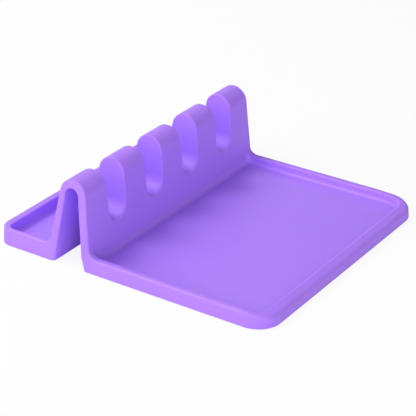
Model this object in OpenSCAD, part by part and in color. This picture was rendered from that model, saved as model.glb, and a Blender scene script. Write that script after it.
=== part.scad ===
// Spoon rest in one soft moulding: a slotted hollow ridge between a drip tray and a rear tray.
// X runs along the ridge, +Y points to the rear tray, +Z is up.
// The origin is on the base, in the middle of the outline.

/* [Overall] */
// Width along the ridge
body_w = 165.3; // [140:0.1:190]
// From the ridge's middle line to the front edge of the drip tray
front_reach = 126.5; // [100:0.5:150]
// From the ridge's middle line to the rear edge of the rear tray
rear_reach = 53.3; // [45:0.1:70]
// Height of the ridge
ridge_h = 52.1; // [48:0.1:60]
// Draft of the outer faces, in degrees, so that the moulding leaves its mould
end_draft_deg = 3.5; // [1:0.1:5]

/* [Drip tray] */
// Height of the rim of the drip tray
tray_rim_h = 8.7; // [8:0.1:12]
// Thickness of the floor of the drip tray
tray_floor_t = 4; // [3:0.1:4.8]
// Width of the side rims of the drip tray, at the base of their rounded tops
tray_side_rim_w = 5; // [4.4:0.1:8]
// Width of the front rim of the drip tray
tray_front_rim_w = 7.1; // [5:0.1:10]
// Outer radius of the front corners, seen from above
tray_corner_r = 13.9; // [8:0.1:20]
// Inner radius of the front corners, seen from above
tray_pocket_r = 8; // [4:0.1:12]

/* [Rear tray] */
// Height of the rim of the rear tray
rear_rim_h = 10.2; // [9:0.1:13]
// Thickness of the floor of the rear tray
rear_floor_t = 3.6; // [3:0.1:4.4]
// Width of the side rims of the rear tray
rear_side_rim_w = 3.4; // [3.3:0.1:6]
// Width of the rear rim
rear_rim_w = 5.5; // [4:0.1:9]
// Outer radius of the rear corners, seen from above
rear_corner_r = 9; // [6:0.1:12]
// Inner radius of the rear corners, seen from above
rear_pocket_r = 4.5; // [4:0.1:8]

/* [Ridge] */
// Foot of the front face, in front of the ridge's middle line
front_face_y = 12.1; // [11:0.1:16]
// Lean of the front face, in degrees from upright
front_lean_deg = 3.7; // [2:0.1:6]
// Foot of the rear face, behind the ridge's middle line
rear_face_y = 17.9; // [17:0.1:21]
// Lean of the rear face, in degrees from upright
rear_lean_deg = 12.2; // [10:0.1:13]
// Foot of the tunnel's front side, in front of the middle line
tunnel_front_y = 6.8; // [5.5:0.1:7.8]
// Foot of the tunnel's rear side, behind the middle line
tunnel_rear_y = 12.4; // [11:0.1:13]
// Lean of the tunnel's rear side, in degrees from upright
tunnel_rear_lean_deg = 10.2; // [9:0.1:11]
// Thickness of the ridge at its crown
crown_t = 5; // [4:0.1:7]
// How far the tunnel's front side flares out at its foot
flare_w = 0.8; // [0.1:0.1:2]
// Height of that flare
flare_h = 8; // [5:0.5:20]
// Radius of the fillet between the front face and the drip tray
front_fillet_r = 6.5; // [3:0.1:7.5]
// Radius of the fillet between the rear face and the rear tray
rear_fillet_r = 4; // [2:0.1:6]

/* [Slots] */
// Number of slots for handles
slot_n = 4; // [2:1:4]
// Width of the first and the last finger at the middle of the slots' rounds
end_finger_w = 22.2; // [20:0.1:26]
// Width of a slot at the top of its round bottom
slot_w = 15; // [12:0.1:17]
// Height of the lowest line of a slot above the base
slot_floor_h = 21.5; // [20:0.1:26]
// Draft of each side of a slot, in degrees
slot_draft_deg = 2; // [0.5:0.1:3]
// Thickness of the wall between a slot and the tunnel
slot_wall = 4.5; // [3:0.1:5]

/* [Soft edges] */
// Radius on the outer edge of the drip tray's rims
rim_edge_r = 2.2; // [1:0.1:2.4]
// Radius on the inner edge of the drip tray's rims
rim_inner_r = 1.4; // [0.6:0.1:1.8]
// Radius on the outer edge of the rear tray's thinner rims
rear_edge_r = 1.6; // [0.8:0.1:1.7]
// Radius on the inner edge of the rear tray's rims
rear_inner_r = 1; // [0.5:0.1:1.1]
// Draft run of the pockets' sides, from the rim down to the floor
pocket_run = 0.8; // [0.2:0.1:1.5]
// Radius where the sides of the drip tray's pocket meet its floor
pocket_fillet_r = 2; // [0.6:0.1:2.4]
// Radius where the sides of the rear tray's deeper pocket meet its floor
rear_floor_r = 3; // [1:0.1:3.1]

/* [Hidden] */
$fn = 96;
FINGERS = [for (i = [1 : slot_n + 1]) str("finger_", i)];
SADDLES = [for (i = [1 : slot_n]) str("saddle_", i)];
skin = "#9B66EE";

// How far every cutting form runs past what it cuts
overrun = 1;
// How far a round laps over the flats that it joins, so that the two surfaces cross cleanly
lap = 0.01;
// Flat land between the end of a fillet and the face where a tray meets its wall
seam_land = 1.5;
// Distance from a slot's wall to the faces where the saddle meets its neighbours
seam_side = 0.6;
// How far below the saddles the lower walls end
seam_drop = 0.8;
// How far above the middle of a slot's round the saddle ends
seam_rise = 1;

// Middle line of the ridge, so that the outline's middle is at zero
ridge_y = (front_reach - rear_reach) / 2;
front_y = ridge_y - front_reach;
rear_y = ridge_y + rear_reach;
half_w = body_w / 2;
slot_pitch = (body_w - 2 * end_finger_w - slot_w) / (slot_n - 1);
slot_r = slot_w / 2;
slot_mid_z = slot_floor_h + slot_r;
low_wall_h = slot_floor_h - slot_wall - seam_drop;
saddle_top_z = slot_mid_z + seam_rise;
// Faces where the trays end and the walls' feet begin
front_seam_y = ridge_y - front_face_y - front_fillet_r - seam_land;
rear_seam_y = ridge_y + rear_face_y + rear_fillet_r + seam_land;
// A span that reaches past the whole moulding
past_d = front_reach + rear_reach;
past_h = ridge_h + overrun;

function slot_x(i) = (i - (slot_n + 1) / 2) * slot_pitch;

// Radius of the arch that touches two leaning faces and rises to a given height
function arch_r(front, rear, lean_f, lean_r, top) =
    (front + rear - (tan(lean_f) + tan(lean_r)) * top)
    / (1 / cos(lean_f) + 1 / cos(lean_r) - tan(lean_f) - tan(lean_r));

// Stands a cross-section of the ridge up and runs it along X, from one place to another
module run_x(x0, x1) {
    translate([x0, ridge_y, 0])
        rotate([90, 0, 90])
            linear_extrude(x1 - x0)
                children();
}

// Stands a front view up and runs it along Y through the whole moulding
module run_y() {
    translate([0, past_d, 0])
        rotate([90, 0, 0])
            linear_extrude(2 * past_d)
                children();
}

// An arch on two leaning legs that runs past both ends of the moulding
module arch(front, rear, lean_f, lean_r, top) {
    r = arch_r(front, rear, lean_f, lean_r, top);
    mid_z = top - r;
    mid_y = r / cos(lean_f) - front + tan(lean_f) * mid_z;
    run_x(-half_w - overrun, half_w + overrun)
        polygon([
            [-front - tan(lean_f) * overrun, -overrun],
            [mid_y - r * cos(lean_f), mid_z + r * sin(lean_f)],
            [mid_y + r * cos(lean_r), mid_z + r * sin(lean_r)],
            [rear + tan(lean_r) * overrun, -overrun]
        ]);
    run_x(-half_w - overrun, half_w + overrun)
        translate([mid_y, mid_z])
            circle(r + lap);
}

// Outline of slot i as seen from the front, grown on all sides by a wall
module slot_outline(i, wall) {
    r = slot_r + wall;
    rise = past_h + overrun - slot_mid_z;
    translate([slot_x(i), slot_mid_z]) {
        circle(r + lap);
        polygon([
            [-r * cos(slot_draft_deg), -r * sin(slot_draft_deg)],
            [r * cos(slot_draft_deg), -r * sin(slot_draft_deg)],
            [r / cos(slot_draft_deg) + tan(slot_draft_deg) * rise, rise],
            [-r / cos(slot_draft_deg) - tan(slot_draft_deg) * rise, rise]
        ]);
    }
}

// The ridge's outer form, with drafted ends
module ridge_form() {
    intersection() {
        arch(front_face_y, rear_face_y, front_lean_deg, rear_lean_deg, ridge_h);
        run_y()
            polygon([
                [-half_w, 0],
                [half_w, 0],
                [half_w - tan(end_draft_deg) * past_h, past_h],
                [-half_w + tan(end_draft_deg) * past_h, past_h]
            ]);
    }
}

// The tunnel under the ridge, which rises into every finger and leaves a wall round each slot
module tunnel() {
    difference() {
        union() {
            arch(tunnel_front_y, tunnel_rear_y, front_lean_deg, tunnel_rear_lean_deg, ridge_h - crown_t);
            run_x(-half_w - overrun, half_w + overrun)
                polygon([
                    [-tunnel_front_y - flare_w, -overrun],
                    [-tunnel_front_y - flare_w, 0],
                    [-tunnel_front_y + tan(front_lean_deg) * flare_h, flare_h],
                    [0, flare_h],
                    [0, -overrun]
                ]);
        }
        for (i = [1 : slot_n])
            run_y()
                slot_outline(i, slot_wall);
    }
}

// The ridge with its slots and its tunnel
module ridge() {
    difference() {
        ridge_form();
        tunnel();
        for (i = [1 : slot_n])
            run_y()
                slot_outline(i, 0);
    }
}

// Direction from one place to another, seen from above
function heading(a, b) = atan2(b.y - a.y, b.x - a.x);

// A plate with soft corners: its child is the edge's section, with x measured outwards
// from the corner centres, and the centres run anticlockwise seen from above
module plate(centres, z0, z1) {
    n = len(centres);
    translate([0, 0, z0])
        linear_extrude(z1 - z0)
            polygon(centres);
    for (i = [0 : n - 1]) {
        a = centres[i];
        b = centres[(i + 1) % n];
        before = heading(centres[(i + n - 1) % n], a);
        after = heading(a, b);
        translate([a.x, a.y, 0]) {
            rotate([0, 0, before - 90])
                rotate_extrude(angle = (after - before + 360) % 360)
                    children();
            rotate([0, 0, after])
                rotate([90, 0, 90])
                    linear_extrude(norm(b - a))
                        mirror([1, 0])
                            children();
        }
    }
}

// Section of a plate's outer edge: drafted face, then a rounded top
module outer_edge(r, h, edge_r) {
    top_x = r - tan(end_draft_deg) * (h - edge_r) - edge_r / cos(end_draft_deg);
    polygon([
        [0, 0],
        [r, 0],
        [top_x + edge_r * cos(end_draft_deg), h - edge_r + edge_r * sin(end_draft_deg)],
        [top_x, h],
        [0, h]
    ]);
    intersection() {
        translate([top_x, h - edge_r])
            circle(edge_r + lap);
        square([r, h]);
    }
}

// Section of a pocket's edge: floor fillet, drafted side, then the rim's rounded inner edge
module pocket_edge(r, floor_z, h, inner_r, fillet_r) {
    foot_x = r - pocket_run;
    difference() {
        union() {
            polygon([
                [0, floor_z],
                [foot_x - fillet_r, floor_z],
                [foot_x, floor_z + fillet_r],
                [r, h - inner_r],
                [r + inner_r, h],
                [r + inner_r, h + overrun],
                [0, h + overrun]
            ]);
            intersection() {
                translate([foot_x - fillet_r, floor_z + fillet_r])
                    circle(fillet_r + lap);
                translate([0, floor_z])
                    square([r, h - floor_z]);
            }
        }
        translate([r + inner_r, h - inner_r])
            circle(inner_r + lap);
    }
}

// Drip tray with its pocket, run on under the front wall
module tray_form() {
    back_y = ridge_y;
    out_x = half_w - tray_corner_r;
    in_x = half_w - tray_side_rim_w - tray_pocket_r;
    out_y = front_y + tray_corner_r;
    in_y = front_y + tray_front_rim_w + tray_pocket_r;
    difference() {
        plate([[-out_x, out_y], [out_x, out_y], [out_x, back_y], [-out_x, back_y]], 0, tray_rim_h)
            outer_edge(tray_corner_r, tray_rim_h, rim_edge_r);
        plate([[-in_x, in_y], [in_x, in_y], [in_x, back_y], [-in_x, back_y]],
            tray_floor_t, tray_rim_h + overrun)
            pocket_edge(tray_pocket_r, tray_floor_t, tray_rim_h, rim_inner_r, pocket_fillet_r);
    }
}

// Rear tray with its pocket, run on under the rear wall
module rear_form() {
    out_y = rear_y - rear_corner_r;
    in_y = rear_y - rear_rim_w - rear_pocket_r;
    out_x = half_w - rear_corner_r;
    in_x = half_w - rear_side_rim_w - rear_pocket_r;
    difference() {
        plate([[out_x, ridge_y], [out_x, out_y], [-out_x, out_y], [-out_x, ridge_y]],
            0, rear_rim_h)
            outer_edge(rear_corner_r, rear_rim_h, rear_edge_r);
        plate([[in_x, ridge_y], [in_x, in_y], [-in_x, in_y], [-in_x, ridge_y]],
            rear_floor_t, rear_rim_h + overrun)
            pocket_edge(rear_pocket_r, rear_floor_t, rear_rim_h, rear_inner_r, rear_floor_r);
    }
}

// Section of a fillet between a level and a face that leans away from it
module fillet_outline(foot, lean, level, r) {
    face = foot - tan(lean) * level;
    run = r * tan((90 - lean) / 2);
    difference() {
        polygon([
            [face + run, level],
            [face - sin(lean) * run, level + run * cos(lean)],
            [0, level + run * cos(lean)],
            [0, 0],
            [face + run, 0]
        ]);
        translate([face + run, level + r])
            circle(r + lap);
    }
}

// Fillet along the foot of a wall: low over the pocket's floor, high over the side rims
module foot_fillet(foot, lean, floor_z, rim_z, rim_w, r) {
    run_x(-half_w + rim_w, half_w - rim_w)
        fillet_outline(foot, lean, floor_z, r);
    for (side = [-1, 1])
        intersection() {
            run_x(side > 0 ? half_w - rim_w : -half_w, side > 0 ? half_w : -half_w + rim_w)
                fillet_outline(foot, lean, rim_z, r);
            run_y()
                polygon([
                    [-half_w, 0],
                    [half_w, 0],
                    [half_w - tan(end_draft_deg) * past_h, past_h],
                    [-half_w + tan(end_draft_deg) * past_h, past_h]
                ]);
        }
}

module drip_tray() {
    color(skin)
        intersection() {
            tray_form();
            translate([-body_w, front_y - overrun, -overrun])
                cube([2 * body_w, front_seam_y - front_y + overrun, past_h]);
        }
}

module rear_tray() {
    color(skin)
        intersection() {
            rear_form();
            translate([-body_w, rear_seam_y, -overrun])
                cube([2 * body_w, rear_y - rear_seam_y + overrun, past_h]);
        }
}

module front_wall() {
    color(skin)
        intersection() {
            difference() {
                union() {
                    ridge_form();
                    tray_form();
                    mirror([0, 1, 0])
                        translate([0, -2 * ridge_y, 0])
                            foot_fillet(front_face_y, front_lean_deg, tray_floor_t, tray_rim_h,
                                tray_side_rim_w, front_fillet_r);
                }
                tunnel();
            }
            translate([-body_w, front_seam_y, 0])
                cube([2 * body_w, ridge_y - front_seam_y, low_wall_h]);
        }
}

module rear_wall() {
    color(skin)
        intersection() {
            difference() {
                union() {
                    ridge_form();
                    rear_form();
                    foot_fillet(rear_face_y, rear_lean_deg, rear_floor_t, rear_rim_h,
                        rear_side_rim_w, rear_fillet_r);
                }
                tunnel();
            }
            translate([-body_w, ridge_y, 0])
                cube([2 * body_w, rear_seam_y - ridge_y, low_wall_h]);
        }
}

// Closed round bottom of slot i, from the lower walls to just above the middle of its round
module saddle(i) {
    reach = slot_r + slot_wall + seam_side;
    color(skin)
        intersection() {
            ridge();
            run_y()
                translate([slot_x(i) - reach, low_wall_h])
                    square([2 * reach, saddle_top_z - low_wall_h]);
        }
}

// Hollow finger i, between two slots or between a slot and the ridge's end
module finger(i) {
    reach = slot_r + slot_wall + seam_side;
    left = i == 1 ? -half_w : slot_x(i - 1);
    right = i == slot_n + 1 ? half_w : slot_x(i);
    low_left = i == 1 ? left : left + reach;
    low_right = i == slot_n + 1 ? right : right - reach;
    color(skin)
        intersection() {
            ridge();
            run_y()
                polygon([
                    [low_left, low_wall_h],
                    [low_right, low_wall_h],
                    [low_right, saddle_top_z],
                    [right, saddle_top_z],
                    [right, past_h],
                    [left, past_h],
                    [left, saddle_top_z],
                    [low_left, saddle_top_z]
                ]);
        }
}

drip_tray();
front_wall();
for (i = [1 : slot_n + 1])
    finger(i);
for (i = [1 : slot_n])
    saddle(i);
rear_wall();
rear_tray();
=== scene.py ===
"""Looks of a soft silicone spoon rest: one seamless moulding with a slotted ridge between two trays.

The moulding is drawn as one closed skin. Its form is a distance to the surface, put together from the
same faces, leans and walls as the solids of the frame, with every edge and corner rounded as silicone
comes out of its mould. A net of quads is then laid on that surface.
"""
import math

import bpy
import numpy as np
from mathutils import Matrix, Vector


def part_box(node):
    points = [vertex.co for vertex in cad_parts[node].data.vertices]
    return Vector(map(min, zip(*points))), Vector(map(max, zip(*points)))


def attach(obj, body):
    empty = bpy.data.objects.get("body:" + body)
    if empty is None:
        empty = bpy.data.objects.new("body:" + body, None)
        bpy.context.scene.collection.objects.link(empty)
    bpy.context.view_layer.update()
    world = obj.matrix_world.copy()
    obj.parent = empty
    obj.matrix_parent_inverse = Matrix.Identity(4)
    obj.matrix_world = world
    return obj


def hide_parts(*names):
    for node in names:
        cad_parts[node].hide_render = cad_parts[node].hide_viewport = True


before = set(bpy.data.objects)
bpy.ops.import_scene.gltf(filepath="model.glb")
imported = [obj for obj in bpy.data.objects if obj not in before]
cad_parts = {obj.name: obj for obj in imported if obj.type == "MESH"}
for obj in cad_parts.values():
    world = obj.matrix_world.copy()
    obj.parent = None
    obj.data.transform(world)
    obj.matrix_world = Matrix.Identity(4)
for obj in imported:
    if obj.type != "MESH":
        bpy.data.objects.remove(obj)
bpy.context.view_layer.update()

MM = 0.001


def place(node, axis, end):
    """Where a node starts (end 0) or stops (end 1) along an axis, in mm."""
    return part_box(node)[end][axis] / MM


# Sizes taken from the frame, in mm
half_w = place("drip_tray", 0, 1)
front_y = place("drip_tray", 1, 0)
rear_y = place("rear_tray", 1, 1)
tray_rim_h = place("drip_tray", 2, 1)
rear_rim_h = place("rear_tray", 2, 1)
ridge_h = place("finger_1", 2, 1)
saddles = ["saddle_1", "saddle_2", "saddle_3", "saddle_4"]
slot_x = [(place(s, 0, 0) + place(s, 0, 1)) / 2 for s in saddles]
slot_pitch = slot_x[1] - slot_x[0]

# Ridge, in mm and degrees; distances along Y are from the ridge's middle line
front_reach = 126.5
ridge_y = front_y + front_reach
front_face, front_lean = 12.1, 3.7
rear_face, rear_lean = 17.9, 12.2
tunnel_front, tunnel_rear, tunnel_rear_lean = 6.8, 12.4, 10.2
crown_t = 5.0
flare_w, flare_h = 0.8, 8.0
end_draft = 3.5

# Slots, in mm and degrees
slot_r = 7.5
slot_mid_z = 29.0
slot_draft = 2.0
slot_wall = 4.5

# Trays, in mm
tray_floor_t, rear_floor_t = 4.0, 3.6
tray_side_rim_w, tray_front_rim_w = 5.0, 7.1
rear_side_rim_w, rear_rim_w = 3.4, 5.5
tray_corner_r, rear_corner_r = 13.9, 9.0
tray_pocket_r, rear_pocket_r = 8.0, 4.5
pocket_slope = 0.19

# Radii of the soft edges and fillets, in mm
front_fillet_r, rim_fillet_r, rear_fillet_r = 3.0, 4.8, 4.0
side_edge_r, front_edge_r, rear_edge_r, ridge_edge_r = 1.6, 2.6, 1.2, 1.1
tray_inner_r, rear_inner_r = 0.8, 0.8
tray_fillet_r, rear_floor_r = 2.0, 3.0
slot_edge_r, slot_foot_r = 0.7, 2.2
tunnel_edge_r, tunnel_foot_r = 0.8, 2.4
base_edge_r = 0.4
inner_corner_r = 2.0

# Fall of the front rim's top, in degrees and mm, and how far back from the front it and the larger
# front edge reach at most
front_fall, front_fall_w, front_fall_r = 22.0, 5.5, 5.0
fall_stretch, front_edge_stretch = 3 * tray_corner_r, 2 * tray_corner_r


# Angles are given in degrees

def tan(degrees):
    return math.tan(math.radians(degrees))


def cos(degrees):
    return math.cos(math.radians(degrees))


def sin(degrees):
    return math.sin(math.radians(degrees))


def blend(start, stop, share):
    """A value that goes from start at share 0 to stop at share 1."""
    return start + (stop - start) * share


# Rounded joins of two distances, negative inside

def round_meet(a, b, r):
    """What is inside both, with the edge between them rounded."""
    both = np.hypot(np.maximum(r + a, 0), np.maximum(r + b, 0))
    return np.minimum(-r, np.maximum(a, b)) + both


def round_join(a, b, r):
    """What is inside either, with a fillet between them."""
    return -round_meet(-a, -b, r)


def round_cut(a, b, r):
    """The first without the second, with the new edge rounded."""
    return round_meet(a, -b, r)


def rounded_corner(a, b, r):
    """Distance to two upright faces that meet in a plan corner of radius r."""
    a, b = a + r, b + r
    outside = np.hypot(np.maximum(a, 0), np.maximum(b, 0))
    return outside + np.minimum(np.maximum(a, b), 0) - r


# Forms of the moulding, each a distance at points x, y, z in mm

def arch(y, z, front, rear, lean_f, lean_r, top):
    """Distance to an arch on two leaning legs, seen along the ridge."""
    lean_sum = tan(lean_f) + tan(lean_r)
    r = (front + rear - lean_sum * top) / (1 / cos(lean_f) + 1 / cos(lean_r) - lean_sum)
    mid_z = top - r
    mid_y = r / cos(lean_f) - front + tan(lean_f) * mid_z
    v = y - ridge_y - mid_y
    w = z - mid_z
    front_side = -v * cos(lean_f) + w * sin(lean_f)
    rear_side = v * cos(lean_r) + w * sin(lean_r)
    over_front = v * sin(lean_f) + w * cos(lean_f) > 0
    over_rear = -v * sin(lean_r) + w * cos(lean_r) > 0
    crown = np.hypot(v, w)
    legs = np.maximum(front_side, rear_side)
    return np.where(over_front & over_rear, crown, legs) - r


def slots(x, z, grown):
    """Distance to the nearest of the slots, grown on all sides by a wall."""
    i = np.clip(np.round((x - slot_x[0]) / slot_pitch), 0, len(slot_x) - 1)
    u = np.abs(x - slot_x[0] - i * slot_pitch)
    w = z - slot_mid_z
    side = u * cos(slot_draft) - w * sin(slot_draft)
    above = u * sin(slot_draft) + w * cos(slot_draft) > 0
    return np.where(above, side, np.hypot(u, w)) - slot_r - grown


def behind(y):
    """True behind the ridge's middle line."""
    return y > ridge_y


def outline(x, y, z):
    """Distance to the drafted outer faces all round."""
    ends = np.maximum(front_y - y, y - rear_y)
    corner_r = np.where(behind(y), rear_corner_r, tray_corner_r)
    return rounded_corner(np.abs(x) - half_w, ends, corner_r) + tan(end_draft) * z


def trays(x, y, z):
    """Distance to the rims and floors of both trays, run on under the ridge."""
    rear = behind(y)
    rim_h = np.where(rear, rear_rim_h, tray_rim_h)
    floor_t = np.where(rear, rear_floor_t, tray_floor_t)
    side = np.abs(x) - half_w + np.where(rear, rear_side_rim_w, tray_side_rim_w)
    ends = np.maximum(front_y + tray_front_rim_w - y, y - rear_y + rear_rim_w)
    corner_r = np.where(rear, rear_pocket_r, tray_pocket_r)
    wall = rounded_corner(side, ends, corner_r) + pocket_slope * (rim_h - z)
    pocket = round_meet(wall, floor_t - z, np.where(rear, rear_floor_r, tray_fillet_r))
    return round_cut(z - rim_h, pocket, np.where(rear, rear_inner_r, tray_inner_r))


def tunnel(x, y, z):
    """Distance to the hollow under the ridge, which rises into every finger."""
    hollow = arch(y, z, tunnel_front, tunnel_rear, front_lean, tunnel_rear_lean, ridge_h - crown_t)
    foot = np.maximum(flare_h - z, 0) * flare_w / flare_h
    hollow = np.where(behind(y), hollow, hollow - foot)
    return round_meet(hollow, -slots(x, z, slot_wall), inner_corner_r)


def foot_fillet_r(x, y):
    """Radius at the ridge's foot, which grows in front from the tray's floor to its side rims."""
    near_rim = np.clip((np.abs(x) - half_w + tray_side_rim_w) / tray_pocket_r + 1, 0, 1)
    return np.where(behind(y), rear_fillet_r, blend(front_fillet_r, rim_fillet_r, near_rim))


def front_rim_top(y, z):
    """Distance to the sloping outer part of the front rim's top, deep inside everywhere behind it."""
    fall = (z - tray_rim_h) * cos(front_fall) + (front_y + front_fall_w - y) * sin(front_fall)
    return np.where(y < front_y + fall_stretch, fall, -ridge_h)


def outer_edge_r(y, z):
    """Radius of the outer edge: large in front, small round the rear tray and on the ridge's ends."""
    near_front = np.clip((front_y + front_edge_stretch - y) / tray_corner_r, 0, 1)
    near_rear = np.clip((y - ridge_y - rear_face) / rear_fillet_r, 0, 1)
    rim_r = blend(side_edge_r, front_edge_r, near_front) + (rear_edge_r - side_edge_r) * near_rear
    on_ridge = np.clip((z - rear_rim_h) / rear_fillet_r, 0, 1)
    return blend(rim_r, ridge_edge_r, on_ridge)


def moulding(x, y, z):
    """Distance to the whole moulding."""
    ridge = arch(y, z, front_face, rear_face, front_lean, rear_lean, ridge_h)
    form = round_join(trays(x, y, z), ridge, foot_fillet_r(x, y))
    form = round_meet(form, front_rim_top(y, z), front_fall_r)
    low_in_slot = np.clip((slot_mid_z - z) / slot_r, 0, 1)
    form = round_cut(form, slots(x, z, 0), blend(slot_edge_r, slot_foot_r, low_in_slot))
    form = round_meet(form, outline(x, y, z), outer_edge_r(y, z))
    near_foot = np.clip(1 - z / tray_rim_h, 0, 1)
    form = round_cut(form, tunnel(x, y, z), blend(tunnel_edge_r, tunnel_foot_r, near_foot))
    return round_meet(form, -z, base_edge_r)


# A net of quads on the moulding's surface. All but the last two values are in mm. The bands are the
# stretches that get a closer grid: at the outer rims, round the ridge, over the base and at the crowns.

FINE, MEDIUM, COARSE = 0.5, 0.75, 2.5
MARGIN = 2.0
SIDE_BAND, FRONT_BAND, REAR_BAND = 12.0, 16.0, 14.0
RIDGE_FRONT_BAND, RIDGE_REAR_BAND = 22.0, 24.0
FLOOR_BAND, CROWN_BAND = 12.0, 12.0
SLOPE_STEP = 0.02
SETTLE_ROUNDS = 4
LEAST_SLOPE = 0.25


def steps(stops):
    """Grid places from a list of (start, step) pairs and a last stop, in mm."""
    places = []
    for (start, step), (stop, _) in zip(stops, stops[1:]):
        n = max(1, round((stop - start) / step))
        places += list(np.linspace(start, stop, n, endpoint=False))
    return np.array(places + [stops[-1][0]])


def net_grid():
    """Places of the grid along X, Y and Z: fine at edges and on the ridge, coarse on flat floors."""
    gx = steps([(-half_w - MARGIN, FINE), (-half_w + SIDE_BAND, MEDIUM), (half_w - SIDE_BAND, FINE),
                (half_w + MARGIN, FINE)])
    gy = steps([(front_y - MARGIN, FINE), (front_y + FRONT_BAND, COARSE),
                (ridge_y - RIDGE_FRONT_BAND, MEDIUM), (ridge_y + RIDGE_REAR_BAND, COARSE),
                (rear_y - REAR_BAND, FINE), (rear_y + MARGIN, FINE)])
    gz = steps([(-MARGIN, FINE), (FLOOR_BAND, MEDIUM), (ridge_h - CROWN_BAND, FINE),
                (ridge_h + MARGIN, FINE)])
    return gx, gy, gz


def gradient(form, points):
    """Slope of a distance at points."""
    slope = np.empty_like(points)
    for a in range(3):
        step = np.zeros(3)
        step[a] = SLOPE_STEP
        ahead, back = (points + step).T, (points - step).T
        slope[:, a] = (form(*ahead) - form(*back)) / (2 * SLOPE_STEP)
    return slope


def cell_points(d, cells, corners, grid):
    """One point in each cell: the middle of the places where the surface crosses its edges."""
    total, count = np.zeros((len(cells), 3)), np.zeros(len(cells))
    unit = np.eye(3, dtype=int)
    for a in range(3):
        for corner in corners:
            if corner[a]:
                continue
            start = cells + corner
            stop = start + unit[a]
            d0, d1 = d[tuple(start.T)], d[tuple(stop.T)]
            crossed = (d0 < 0) != (d1 < 0)
            t = np.where(crossed, d0 / np.where(crossed, d0 - d1, 1), 0)[:, None]
            p0 = np.stack([g[start[:, n]] for n, g in enumerate(grid)], 1)
            p1 = np.stack([g[stop[:, n]] for n, g in enumerate(grid)], 1)
            total += (p0 + t * (p1 - p0)) * crossed[:, None]
            count += crossed
    return total / count[:, None]


def cell_quads(solid, number):
    """A quad for each grid edge that the surface crosses, through the points of its four cells."""
    unit = np.eye(3, dtype=int)
    quads = []
    for a in range(3):
        b, c = (a + 1) % 3, (a + 2) % 3
        ahead = np.take(solid, range(1, solid.shape[a]), a)
        here = np.take(solid, range(0, solid.shape[a] - 1), a)
        edges = np.argwhere(ahead != here)
        ring = [number[tuple((edges - m * unit[b] - n * unit[c]).T)]
                for m, n in ((0, 0), (1, 0), (1, 1), (0, 1))]
        ring = np.stack(ring, 1)
        faces_up = here[tuple(edges.T)]
        quads.append(np.where(faces_up[:, None], ring, ring[:, ::-1]))
    return np.concatenate(quads)


def settled(form, points):
    """The points, moved along the slope until they lie on the surface."""
    for _ in range(SETTLE_ROUNDS):
        slope = gradient(form, points)
        off = form(*points.T) / np.maximum((slope ** 2).sum(1), LEAST_SLOPE)
        points = points - np.clip(off, -FINE, FINE)[:, None] * slope
    return points


def surface_net(form, grid):
    """Points, quads and normals of the surface where the form's distance is zero."""
    gx, gy, gz = grid
    d = form(gx[:, None, None], gy[None, :, None], gz[None, None, :])
    solid = d < 0
    corners = [(i, j, k) for i in (0, 1) for j in (0, 1) for k in (0, 1)]
    shape = tuple(n - 1 for n in d.shape)
    filled = np.zeros(shape, np.int8)
    for i, j, k in corners:
        filled += solid[i:i + shape[0], j:j + shape[1], k:k + shape[2]]
    cells = np.argwhere((filled > 0) & (filled < len(corners)))
    number = np.full(shape, -1)
    number[tuple(cells.T)] = np.arange(len(cells))

    points = settled(form, cell_points(d, cells, corners, grid))
    quads = cell_quads(solid, number)
    normals = gradient(form, points)
    normals /= np.linalg.norm(normals, axis=1)[:, None]
    return points, quads, normals


def mesh_piece(name, points, quads, normals):
    """A mesh object whose points are in mm, shaded by the true normals of its surface."""
    mesh = bpy.data.meshes.new(name)
    mesh.from_pydata((points * MM).tolist(), [], quads.tolist())
    mesh.validate()
    mesh.shade_smooth()
    mesh.normals_split_custom_set_from_vertices(normals.tolist())
    piece = bpy.data.objects.new(name, mesh)
    bpy.context.scene.collection.objects.link(piece)
    return piece


# Materials. Sizes of their patterns are in mm.

CLOUD_SIZE = 40
BLAST_SIZE, BLAST_DEPTH = 0.35, 0.02
GLOW_DEPTH = 3
WHITE_SHARE = 0.88


def srgb(code, alpha=1.0):
    """A colour written as a hex code, in the linear values that shaders take."""
    parts = [int(code[i:i + 2], 16) / 255 for i in (1, 3, 5)]
    linear = [c / 12.92 if c <= 0.04045 else ((c + 0.055) / 1.055) ** 2.4 for c in parts]
    return (*linear, alpha)


def add_node(tree, kind, settings=None, links=None):
    """A shader node with its socket values or properties, and the sockets that feed it."""
    node = tree.nodes.new(kind)
    for key, value in (settings or {}).items():
        if isinstance(key, int) or key in node.inputs:
            node.inputs[key].default_value = value
        else:
            setattr(node, key, value)
    for key, source in (links or {}).items():
        tree.links.new(source, node.inputs[key])
    return node


def new_material(name):
    """A material with an empty node tree."""
    material = bpy.data.materials.new(name)
    material.use_nodes = True
    material.node_tree.nodes.clear()
    return material, material.node_tree


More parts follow.
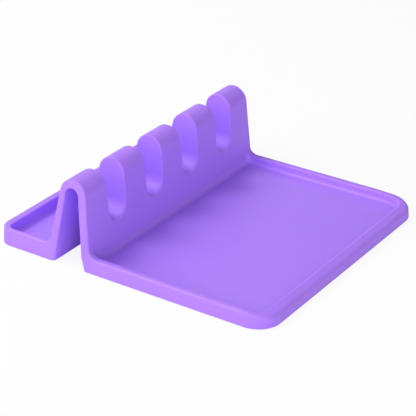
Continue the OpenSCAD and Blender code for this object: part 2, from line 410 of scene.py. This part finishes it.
def moulded_silicone():
    """Matt silicone rubber, pressed in a fine-blasted mould: a soft bloom on edges, no sharp gloss."""
    material, tree = new_material("moulded_silicone")
    place_on_piece = add_node(tree, "ShaderNodeTexCoord")
    to_mm = add_node(tree, "ShaderNodeVectorMath", {"operation": "SCALE", "Scale": 1 / MM},
                     {0: place_on_piece.outputs["Object"]})
    cloud = add_node(tree, "ShaderNodeTexNoise", {"Scale": 1 / CLOUD_SIZE, "Detail": 2.0},
                     {"Vector": to_mm.outputs[0]})
    tint = add_node(tree, "ShaderNodeMix",
                    {"data_type": "RGBA", 6: srgb("#B07FFD"), 7: srgb("#B483FD")},
                    {0: cloud.outputs["Fac"]})
    blast = add_node(tree, "ShaderNodeTexNoise", {"Scale": 1 / BLAST_SIZE, "Detail": 2.0},
                     {"Vector": to_mm.outputs[0]})
    bump = add_node(tree, "ShaderNodeBump", {"Strength": 0.08, "Distance": BLAST_DEPTH * MM},
                    {"Height": blast.outputs["Fac"]})
    skin = add_node(tree, "ShaderNodeBsdfPrincipled",
                    {"Roughness": 0.5, "IOR": 1.42, "Subsurface Weight": 0.3,
                     "Subsurface Radius": (1.1, 0.8, 0.7), "Subsurface Scale": GLOW_DEPTH * MM},
                    {"Base Color": tint.outputs[2], "Normal": bump.outputs["Normal"]})
    add_node(tree, "ShaderNodeOutputMaterial", links={"Surface": skin.outputs["BSDF"]})
    return material


def pale_floor():
    """White studio paper that stays white to the camera and keeps a faint shadow."""
    material, tree = new_material("pale_floor")
    paper = add_node(tree, "ShaderNodeBsdfDiffuse", {"Color": srgb("#F4F4F6")})
    white = add_node(tree, "ShaderNodeEmission", {"Color": srgb("#FFFFFF"), "Strength": 1.0})
    seen = add_node(tree, "ShaderNodeLightPath")
    share = add_node(tree, "ShaderNodeMath", {"operation": "MULTIPLY", 1: WHITE_SHARE},
                     {0: seen.outputs["Is Camera Ray"]})
    mixed = add_node(tree, "ShaderNodeMixShader",
                     links={0: share.outputs[0], 1: paper.outputs[0], 2: white.outputs[0]})
    add_node(tree, "ShaderNodeOutputMaterial", links={"Surface": mixed.outputs[0]})
    return material


# The moulding

rest = mesh_piece("silicone_moulding", *surface_net(moulding, net_grid()))
rest.data.materials.append(moulded_silicone())
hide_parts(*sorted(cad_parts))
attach(rest, "root")

# Floor, in metres

FLOOR_HALF = 12.0
floor_mesh = bpy.data.meshes.new("floor")
floor_mesh.from_pydata([(-FLOOR_HALF, -FLOOR_HALF, 0), (FLOOR_HALF, -FLOOR_HALF, 0),
                        (FLOOR_HALF, FLOOR_HALF, 0), (-FLOOR_HALF, FLOOR_HALF, 0)],
                       [], [(0, 1, 2, 3)])
floor = bpy.data.objects.new("floor", floor_mesh)
floor.data.materials.append(pale_floor())
bpy.context.scene.collection.objects.link(floor)


# Camera at the photograph's angle, in degrees and mm: it stands back from the ridge's middle line and is
# moved a little aside and up. The focal length and the picture's width are in pixels.

CAMERA_AZIMUTH, CAMERA_ELEVATION = -55.945, 27.223
CAMERA_BACK, CAMERA_ASIDE, CAMERA_UP = 969.97, 28.731, 1.498
PHOTO_PX = 416
FOCAL_PX = 1653.55
SENSOR_MM = 36.0


def look_from(azimuth, elevation, distance, aside, lift, target):
    """Place and turn of a camera that stands back from a target and is moved in its own plane."""
    back = Vector((sin(azimuth) * cos(elevation), -cos(azimuth) * cos(elevation), sin(elevation)))
    right = (-back).cross(Vector((0, 0, 1))).normalized()
    up = right.cross(-back)
    turn = Matrix((right, up, back)).transposed().to_4x4()
    return Matrix.Translation(target + back * distance + right * aside + up * lift) @ turn


camera_data = bpy.data.cameras.new("camera")
camera_data.sensor_width = SENSOR_MM
camera_data.lens = FOCAL_PX / PHOTO_PX * SENSOR_MM
camera = bpy.data.objects.new("camera", camera_data)
camera.matrix_world = look_from(CAMERA_AZIMUTH, CAMERA_ELEVATION, CAMERA_BACK * MM,
                                CAMERA_ASIDE * MM, CAMERA_UP * MM, Vector((0, ridge_y * MM, 0)))
bpy.context.scene.collection.objects.link(camera)
bpy.context.scene.camera = camera


# Light: soft panels in a dim white room that is white to the camera. Panels are in metres and watts.
# The low one stands farther off, so that views from the side don't see where it meets the floor.

ROOM_STRENGTH, BACKDROP_STRENGTH = 0.18, 1.0


def soft_panel(name, direction, distance, size, power):
    """A square soft light that faces the middle of the moulding."""
    data = bpy.data.lights.new(name, "AREA")
    data.size = size
    data.energy = power
    panel = bpy.data.objects.new(name, data)
    toward = Vector(direction).normalized()
    panel.location = toward * distance
    panel.rotation_mode = "QUATERNION"
    panel.rotation_quaternion = toward.to_track_quat("Z", "Y")
    bpy.context.scene.collection.objects.link(panel)
    return panel


soft_panel("key", (-0.9, 0.45, 0.7), 1.3, 0.9, 5.2)
soft_panel("high_back", (-0.35, 0.7, 1.2), 1.3, 0.7, 9.5)
soft_panel("far_side", (0.65, 0.75, 0.55), 1.3, 0.9, 2.4)
soft_panel("front", (-0.3, -1, 0.6), 1.3, 0.9, 3.0)
soft_panel("near_low", (-1, -0.8, 0.2), 2.6, 1.8, 31.0)

world = bpy.data.worlds.new("studio")
world.use_nodes = True
bpy.context.scene.world = world
sky = world.node_tree
sky.nodes.clear()
room = add_node(sky, "ShaderNodeBackground", {"Color": srgb("#FFFFFF"), "Strength": ROOM_STRENGTH})
backdrop = add_node(sky, "ShaderNodeBackground",
                    {"Color": srgb("#FFFFFF"), "Strength": BACKDROP_STRENGTH})
seen = add_node(sky, "ShaderNodeLightPath")
mixed = add_node(sky, "ShaderNodeMixShader",
                 links={0: seen.outputs["Is Camera Ray"], 1: room.outputs[0],
                        2: backdrop.outputs[0]})
add_node(sky, "ShaderNodeOutputWorld", links={"Surface": mixed.outputs[0]})

bpy.context.scene.view_settings.view_transform = "Standard"
